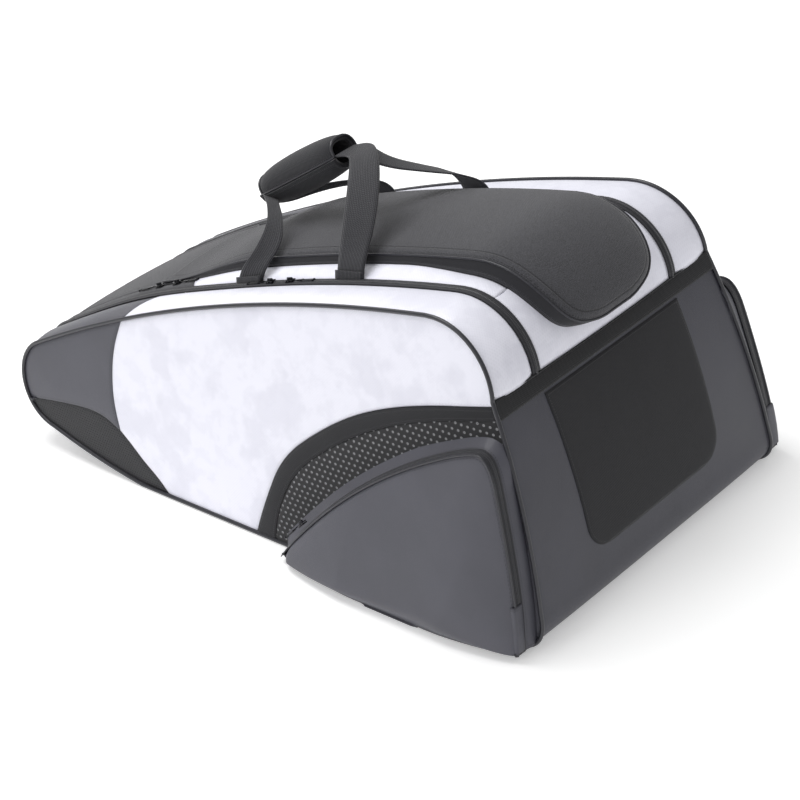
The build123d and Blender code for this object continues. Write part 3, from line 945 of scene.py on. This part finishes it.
# %% Lid
LID_RISE, LID_PUFF, LID_CORNER = 19, 7, 44
LID_CORE = 78  # how far the middle line that the rim is joined to stops short of the butt end
lid_start = crest_share(LID_FRONT)
lid_stop = crest.share_where(lambda p: p.x > 700 and p.y < 303)
lid_long = (lid_stop - lid_start) * crest.length
lid_rim = Line(smooth([(0, -93), (40, -99), (110, -LID_HALF), (300, -LID_HALF), (lid_long - 90, -LID_HALF),
                       (lid_long - LID_CORNER, -LID_HALF + 3), (lid_long - 12, -LID_HALF + 20),
                       (lid_long, -LID_HALF + 62), (lid_long, 0)], 3))
lid_rim = Line(joined(lid_rim.points, [Vector((p.x, -p.y)) for p in reversed(lid_rim.points)]))


def lid_core(rim):
    return Vector((min(rim.x, lid_long - LID_CORE), 0))


def lid_grow(x):
    """How much of its full height the lid has at a run along it."""
    return ease(20, 190, x)


def lid_spot(flat, height):
    share = lid_start + flat.x / crest.length
    return on_line(crest, share, flat.y, height)


def lid_shape(inset, height, puff):
    """inset and height of the start of the sheet, and how far its middle stands above that."""
    def where(s, t):
        rim = lid_rim(s)
        core = lid_core(rim)
        full = (core - rim).length
        near = inset + (full - inset) * t
        flat = rim + (core - rim) * (near / full)
        grow = lid_grow(flat.x)
        rounding = 4 * (1 - math.exp(-(near - inset) / 5)) * grow
        lift = 1.5 + (height * grow + rounding) + puff * (0.3 + 0.7 * grow) * (1 - (1 - t) ** 2.2)
        return lid_spot(flat, lift)
    return where


def lid_wall(s, t):
    rim = lid_rim(s)
    core = lid_core(rim)
    grow = lid_grow(rim.x)
    low = climb(lid_start + rim.x / crest.length) - 1.5
    flat = rim + (core - rim).normalized() * (-1.5 + 3.5 * t ** 2)
    return lid_spot(flat, 0.5 + low + (LID_RISE + 1 - low) * grow * t)


cover_shape = lid_shape(2, LID_RISE, LID_PUFF)
lid_top = sew(lay("lid_heather_cover", 300, 44, cover_shape, 0.0012, seam_rows=(0,)), HEATHER, "lid", ["lid"],
              thick=0.002, lining=LINING, puffed=(1.2, 0.005))
sew(lay("lid_zip_wall", 360, 10, lid_wall, 0.0, crowded=False), LID_ZIP, "lid")
cushion_shape = lid_shape(6, LID_RISE - 8, LID_PUFF - 3)
lid_cushion = sew(lay("lid_quilted_pad", 120, 20, cushion_shape, 0.001, seam_rows=(0,)), FOAM, "lid",
                  ["lid_pad"], thick=0.003)
cord_piece("lid_rim_piping", [cover_shape(k / 360, 0.0) for k in range(361)], 0.0014, PIPING, "lid")
print("lid", round(lid_long), "mm long")

# %% [markdown]
# Each shoe pocket is a shallow box of coated cloth with a zip round its front edge. The front is
# padded and crowned, and folds down about its lower edge.

# %% Shoe pockets
POCKET_DEPTH, POCKET_PUFF = 30, 26
POCKET_FRONT, POCKET_REAR = (480, 8), (846, 8)
POCKET_BACK = [(797, 238), (812, 222), (821, 186), (836, 112), (845, 50), POCKET_REAR]
pocket_rim = Line(smooth(joined(bowed(POCKET_FRONT, (768, 229), 21, 14), POCKET_BACK), 2))
pocket_foot = Line(bowed(POCKET_FRONT, POCKET_REAR, -7, 40))


def pocket_strip(side, low, high, flare):
    """A band round the pocket's rim, from one depth to another."""
    def where(s, t):
        spread = 1 - min(1, max(0, (s - 0.45) / 0.25)) * 0.8
        p = pocket_rim(s) + pocket_rim.left(s) * flare * spread * (1 - t)
        return at(p.x, side * (side_y(p) + low + (high - low) * t), p.y)
    return where


def pocket_front(side):
    def where(s, t):
        p = pocket_rim(s).lerp(pocket_foot(s), t)
        ends = min(1, math.sin(math.pi * min(max(s, 0), 1)) * 1.25) ** 0.6
        swell = POCKET_PUFF * ends * math.sin(math.pi / 2 * min(1, t / 0.85))
        swell -= 12 * ends * ease(0.86, 1, t) ** 2
        tip = 10 * (1 - ease(0, 0.05, s))
        return at(p.x, side * (side_y(p) + POCKET_DEPTH + swell - tip), max(p.y, 1.5))
    return where


for prefix, side in SIDES.items():
    def floor_where(s, t, side=side):
        p = pocket_foot(s)
        return at(p.x, side * (side_y(p) - 4 + (POCKET_DEPTH + 2) * t), max(p.y, 2) + 1.5)
    sew(lay(f"{prefix}_pocket_gusset", 160, 8, pocket_strip(side, -2, 17.5, 24), 0.0008), COATED, "shell",
        [f"{prefix}_pocket_wall"], lining=LINING)
    sew(lay(f"{prefix}_pocket_floor", 60, 6, floor_where, 0.0), BOTTOM, "shell")
    tape = pocket_strip(side, 17.5, 30.5, 3.5)
    sew(lay(f"{prefix}_pocket_zip_tape", 200, 10, tape, 0.0, crowded=False), POCKET_ZIP, "shell",
        [f"{prefix}_pocket_zip"])
    front_shape = pocket_front(side)
    front = sew(lay(f"{prefix}_pocket_front_pad", 130, 50, front_shape, 0.0014), COATED,
                f"{prefix}_pocket_flap", [f"{prefix}_pocket_front"], thick=0.0025, lining=LINING,
                puffed=(1.0, 0.006))
    rim_points = [front_shape(k / 240, 0.0) for k in range(4, 237)]
    cord_piece(f"{prefix}_pocket_piping", rim_points, 0.0015, PIPING, f"{prefix}_pocket_flap")

    def garage(s, t, side=side):
        share = 0.905 + 0.09 * s
        p = pocket_rim(share)
        edge = pocket_rim.left(share) * (1.8 - 16 * max(0, t - 0.5) * 2)
        depth = 18 + 14.5 * min(1, 2 * t)
        q = p + edge
        return at(q.x, side * (side_y(q) + depth + 1.0), q.y)
    sew(lay(f"{prefix}_zip_garage", 20, 14, garage, 0.0006), COATED, "shell")
print("pocket rim", round(pocket_rim.length), "mm")

# %% [markdown]
# Inside, two dividers split the bag into three. They are stiff lined sheets, so they stay nearly
# flat and are laid between the crest and the keel, drawn in a little from the shell.

# %% Dividers
DIVIDER_MIDDLE, DIVIDER_SHARE, DIVIDER_IN = Vector((430, 150)), 0.975, 9
for prefix, side in SIDES.items():
    def divider(s, t, side=side):
        p = crest(s).lerp(keel(1 - s), t)
        p = DIVIDER_MIDDLE + (p - DIVIDER_MIDDLE) * DIVIDER_SHARE
        return at(p.x, side * (zip_y(p.x) - DIVIDER_IN), p.y)
    sew(lay(f"{prefix}_divider_sheet", 90, 24, divider, 0.0), LINING, "shell", [f"{prefix}_divider"],
        thick=0.002)
print("dividers", sum("divider_sheet" in o.name for o in bpy.data.objects))

# %% [markdown]
# A slider is a small cast body with a bridge over it, and a metal tab that carries a cord pull. All
# are made of bevelled blocks. Each one is built flat at the origin and set where the frame's own
# slider lies, along the zip.

# %% Sliders and pulls
SLIDER_LIFT, POCKET_SLIDER_LIFT = 0.0004, 0.001


def block(bm, size, place, bevel, taper=1.0):
    """A bevelled block whose front end narrows by taper."""
    made = bmesh.ops.create_cube(bm, size=1.0)["verts"]
    for vert in made:
        narrow = taper if vert.co.x > 0 else 1.0
        x, y, z = vert.co
        vert.co = Vector((x * size[0], y * size[1] * narrow, z * size[2])) + Vector(place)
    edges = list({e for v in made for e in v.link_edges})
    bmesh.ops.bevel(bm, geom=edges, offset=bevel, offset_type="OFFSET", segments=3, profile=0.5, material=-1,
                    affect="EDGES")


def stand(centre, along, up):
    aside = up.cross(along).normalized()
    return Matrix.Translation(centre) @ Matrix((along, aside, up)).transposed().to_4x4()


def finish_part(name, bm, spot, look, body, nodes):
    bmesh.ops.remove_doubles(bm, verts=bm.verts, dist=0.000005)
    bmesh.ops.recalc_face_normals(bm, faces=bm.faces)
    bmesh.ops.transform(bm, matrix=spot, verts=bm.verts)
    attach(add_piece(name, mesh_of(name, bm), look), body, nodes)


def middle_of(node):
    low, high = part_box(node)
    return (low + high) / 2


def slider_set(prefix, along, up, lift):
    """One slider with its metal tab and its cord pull. along points towards the pull."""
    spot = stand(middle_of(f"{prefix}_slider") + up * lift, along, up)
    bm = bmesh.new()
    block(bm, (0.0126, 0.0078, 0.0016), (-0.001, 0, -0.0014), 0.0006, 0.75)
    block(bm, (0.0126, 0.0078, 0.0012), (-0.001, 0, 0.0006), 0.0005, 0.75)
    block(bm, (0.0085, 0.0022, 0.0030), (-0.0014, 0, 0.0022), 0.0008)
    finish_part(f"{prefix}_slider_body", bm, spot, METAL, f"{prefix}_slider",
                [f"{prefix}_slider"])
    spot = stand(middle_of(f"{prefix}_pull") + up * lift, along, up)
    bm = bmesh.new()
    block(bm, (0.0080, 0.0036, 0.0012), (-0.0090, 0, 0.0006), 0.0004)
    block(bm, (0.0040, 0.0046, 0.0018), (-0.0050, 0, 0.0004), 0.0006)
    block(bm, (0.0030, 0.0052, 0.0026), (0.0136, 0, 0.0), 0.0007)
    finish_part(f"{prefix}_pull_metal", bm, spot, METAL, f"{prefix}_pull", [])
    bm = bmesh.new()
    for aside in (0.0013, -0.0013):
        block(bm, (0.0190, 0.0018, 0.0018), (0.0048, aside, 0.0), 0.0006)
    finish_part(f"{prefix}_pull_loop", bm, spot, CORD, f"{prefix}_pull", [f"{prefix}_pull"])


def crest_frame(node):
    """The way along the zip and the way up at a node, and how far the cloth there is raised."""
    x = (middle_of(node).x - NOSE_TIP) * 1000
    share = crest_share(x)
    ahead = (crest(share + 0.004) - crest(share - 0.004)).normalized()
    lift = SLIDER_LIFT + top_crown(crest(share), middle_of(node).y * 1000) / 1000
    return Vector((ahead.x, 0, ahead.y)), Vector((-ahead.y, 0, ahead.x)), lift


for prefix in ("near_zip", "far_zip", "near_lid", "far_lid"):
    for end in ("nose", "butt"):
        whole = f"{prefix}_{end}"
        along, up, lift = crest_frame(f"{whole}_slider")
        slider_set(whole, -along if end == "nose" else along, up, lift)
for prefix, side in SIDES.items():
    hang = middle_of(f"{prefix}_pocket_pull") - middle_of(f"{prefix}_pocket_slider")
    hang = Vector((hang.x, 0, hang.z)).normalized()
    outward = Vector((hang.z, 0, -hang.x)) * (1 if hang.z < 0 else -1)
    slider_set(f"{prefix}_pocket", hang, outward, POCKET_SLIDER_LIFT)
print("sliders", sum("slider_body" in o.name for o in bpy.data.objects))

# %% [markdown]
# Webbing is a flat ribbon that keeps its width and turns about its own length. Each leg is given a
# few stations, with a middle, a direction across and a half width, and is smoothed between them.
# Each leg is set in place as laid, and does not ride on the grip. Its foot is a separate piece sewn to the bag.

# %% Webbing loops
def ribbon_where(stations):
    middle = Line(smooth([Vector(s[0]) for s in stations], 3))
    across = smooth([Vector(s[1]).normalized() * s[2] for s in stations], 3)

    def where(s, t):
        k = min(int(s * (len(across) - 1)), len(across) - 2)
        part = s * (len(across) - 1) - k
        side = across[k].lerp(across[k + 1], part)
        p = middle.points[k].lerp(middle.points[k + 1], part) + side * (2 * t - 1)
        return at(p.x, p.y, p.z)
    return where


GRIP_FRONT, GRIP_REAR = Vector((304, 0, 346.6)), Vector((432, 0, 424.3))
grip_along = (GRIP_REAR - GRIP_FRONT).normalized()
grip_up = Vector((-grip_along.z, 0, grip_along.x))
LEGS = {
    "near_front": [((368, -122, 286), (1, 0, 0.30), 20), ((374, -119, 308), (1, 0.1, 0.30), 20),
                   ((388, -104, 332), (0.8, 0.5, 0.2), 17), ((378, -76, 350), (0.4, 0.9, 0), 11),
                   ((346, -42, 354), (0.1, 1, -0.3), 9), ((314, -12, 348), (0, 1, -0.3), 13),
                   ((306, 0, 347), (0, 1, 0), 17)],
    "near_rear": [((528, -122, 331), (1, 0, 0.16), 20), ((530, -119, 354), (1, 0, 0.16), 20),
                  ((530, -100, 390), (0.9, 0.3, 0.1), 20), ((510, -62, 420), (0.8, 0.5, 0.2), 20),
                  ((482, -24, 437), (0.7, 0.7, 0.3), 18), ((458, -4, 433), (0.3, 1, 0.2), 17),
                  ((430, 0, 423), (0, 1, 0), 18)],
    "far_front": [((382, 122, 292), (1, 0, 0.30), 20), ((380, 120, 312), (1, 0, 0.30), 20),
                  ((372, 104, 329), (1, 0.1, 0.30), 18), ((346, 66, 334), (0.8, 0.4, 0.4), 17),
                  ((310, 26, 326), (0.6, 0.6, 0.6), 16), ((292, 6, 336), (0.2, 1, 0), 15),
                  ((306, 0, 347), (0, 1, 0), 18)],
    "far_rear": [((530, 120, 335), (1, 0, 0.16), 20), ((528, 117, 354), (1, 0, 0.16), 20),
                 ((520, 98, 374), (1, -0.2, 0.1), 18), ((498, 60, 391), (0.8, -0.6, 0.1), 15),
                 ((476, 24, 408), (0.5, -0.9, 0), 14), ((456, 4, 428), (0.2, -1, 0), 16),
                 ((430, 0, 423), (0, -1, 0), 18)],
}
BEND_RISE = (14, 44)  # two heights above a leg's foot
FOOT_HALF = 21
for name, stations in LEGS.items():
    foot = stations[0][0]
    bend = ("shell", "grip", *(at(foot[0], foot[1], foot[2] + rise) for rise in BEND_RISE))
    nodes = {"near_front": ["near_webbing"], "far_front": ["far_webbing"]}.get(name, [])
    sew(lay(f"{name}_webbing_leg", 110, 8, ribbon_where(stations), 0.0, crowded=False), WEBBING, bend, nodes,
        thick=0.0018)

    def foot_where(s, t, foot=foot, slope=stations[0][1]):
        across = Vector(slope).normalized() * FOOT_HALF * (2 * t - 1)
        side = 1 if foot[1] > 0 else -1
        p = Vector(foot) + across + Vector((0, side * (1.4 + 1.6 * (1 - s)), -1 + 12 * s))
        return at(p.x, p.y, p.z)
    sew(lay(f"{name}_webbing_foot", 12, 12, foot_where, 0.0005, crowded=False), WEBBING, "shell",
        ["handle_feet"] if name == "near_front" else [], thick=0.0016)
print("webbing", [round(Line([Vector(s[0]) for s in leg]).length) for leg in LEGS.values()], "mm a leg")

# %% [markdown]
# The grip is a padded sleeve in two halves: a pad under the webbing, and a flap that closes over it
# and opens about its far edge. Each half is laid round a flattened circle that narrows at its ends.

# %% Grip
GRIP_LONG = (GRIP_REAR - GRIP_FRONT).length
GRIP_SHORTER, GRIP_START = 6, 5


def grip_half(start, turn_by, wide, high, sag=0.0):
    def where(s, t):
        a = start + turn_by * t
        ends = 1 - 0.20 * abs(2 * s - 1) ** 6
        c, d = math.cos(a), math.sin(a)
        y = math.copysign(abs(c) ** 0.8, c) * wide * ends
        up = math.copysign(abs(d) ** 0.85, d) * high * ends
        bow = sag * math.sin(math.pi * s) * d
        p = GRIP_FRONT + grip_along * ((GRIP_LONG - GRIP_SHORTER) * s + GRIP_START) + grip_up * (up + bow)
        return at(p.x, y, p.z)
    return where


flap_shape = grip_half(-0.10, math.pi + 0.20, 25, 22, 3.5)
pad_shape = grip_half(math.pi + 0.10, math.pi - 0.20, 22.5, 17, 4)
flap = sew(lay("grip_flap_cloth", 60, 36, flap_shape, 0.001), GRIP, "grip_flap", ["grip_flap"], thick=0.005,
           puffed=(1.0, 0.003))
under = sew(lay("grip_pad_cloth", 60, 36, pad_shape, 0.001), GRIP, "grip", ["grip_pad"], thick=0.005,
            puffed=(1.0, 0.003))
edge_loop = [flap_shape(k / 60, 0.985) for k in range(61)]
edge_loop += [flap_shape(1, 1 - k / 30) for k in range(1, 30)]
edge_loop += [flap_shape(1 - k / 60, 0.015) for k in range(61)]
edge_loop += [flap_shape(0, k / 30) for k in range(1, 30)]
cord_piece("grip_flap_piping", edge_loop, 0.0016, GRIP_PIPING, "grip_flap", closed=True)
print("grip", round(GRIP_LONG), "mm long")

# %% [markdown]
# The stage is a plain pale floor with soft light from above. The camera looks from behind the butt
# end's near corner, a little from above, through a long lens.

# %% Stage, light and camera
bm = bmesh.new()
bmesh.ops.create_grid(bm, x_segments=2, y_segments=2, size=8)
floor_mesh = mesh_of("floor", bm)
floor = bpy.data.objects.new("floor", floor_mesh)
bpy.context.collection.objects.link(floor)
pale = Look("pale_floor", roughness=0.9)
pale.put({"Base Color": pale.mix(pale.noise(3) * 0.1, tone(252), tone(249)), "Emission Color": (1, 1, 1, 1),
          "Emission Strength": 0.32})
floor_mesh.materials.append(pale.material)

world = bpy.data.worlds.new("soft_sky")
bpy.context.scene.world = world
world.use_nodes = True
sky = world.node_tree.nodes["Background"].inputs
sky["Color"].default_value, sky["Strength"].default_value = (1, 1, 1, 1), 0.50
bpy.context.scene.view_settings.view_transform = "Standard"


def area_light(name, place, target, size, power):
    lamp = bpy.data.lights.new(name, "AREA")
    lamp.shape, lamp.size, lamp.energy = "DISK", size, power
    item = bpy.data.objects.new(name, lamp)
    item.location = place
    item.rotation_mode = "QUATERNION"
    item.rotation_quaternion = (Vector(target) - Vector(place)).to_track_quat("-Z", "Y")
    bpy.context.collection.objects.link(item)


area_light("top_softbox", (-0.6, -0.2, 2.2), (0, 0, 0.2), 1.4, 26)
area_light("front_softbox", (-0.2, -2.4, 1.3), (0, 0, 0.15), 1.4, 9)
area_light("nose_softbox", (-2.2, 0.6, 1.4), (-0.2, 0, 0.2), 1.2, 9)

CAMERA_PLACE = (2.031, -2.248, 1.744)
YAW, PITCH, ROLL = math.radians(-41.41), math.radians(28.75), math.radians(-5.87)
forward = Vector((math.sin(YAW) * math.cos(PITCH), math.cos(YAW) * math.cos(PITCH), -math.sin(PITCH)))
level = Vector((math.cos(YAW), -math.sin(YAW), 0))
upward = level.cross(forward)
right = level * math.cos(ROLL) + upward * math.sin(ROLL)
top = upward * math.cos(ROLL) - level * math.sin(ROLL)
camera = bpy.data.objects.new("camera", bpy.data.cameras.new("camera"))
camera.data.lens, camera.data.sensor_width = 126, 36
facing = Matrix((right, top, -forward)).transposed().to_4x4()
camera.matrix_world = Matrix.Translation(CAMERA_PLACE) @ facing
bpy.context.collection.objects.link(camera)
bpy.context.scene.camera = camera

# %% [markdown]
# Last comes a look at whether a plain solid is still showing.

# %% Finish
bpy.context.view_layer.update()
left_showing = [n for n, o in frame["nodes"].items() if not o.hide_render]
print("CAD nodes still showing:", left_showing)
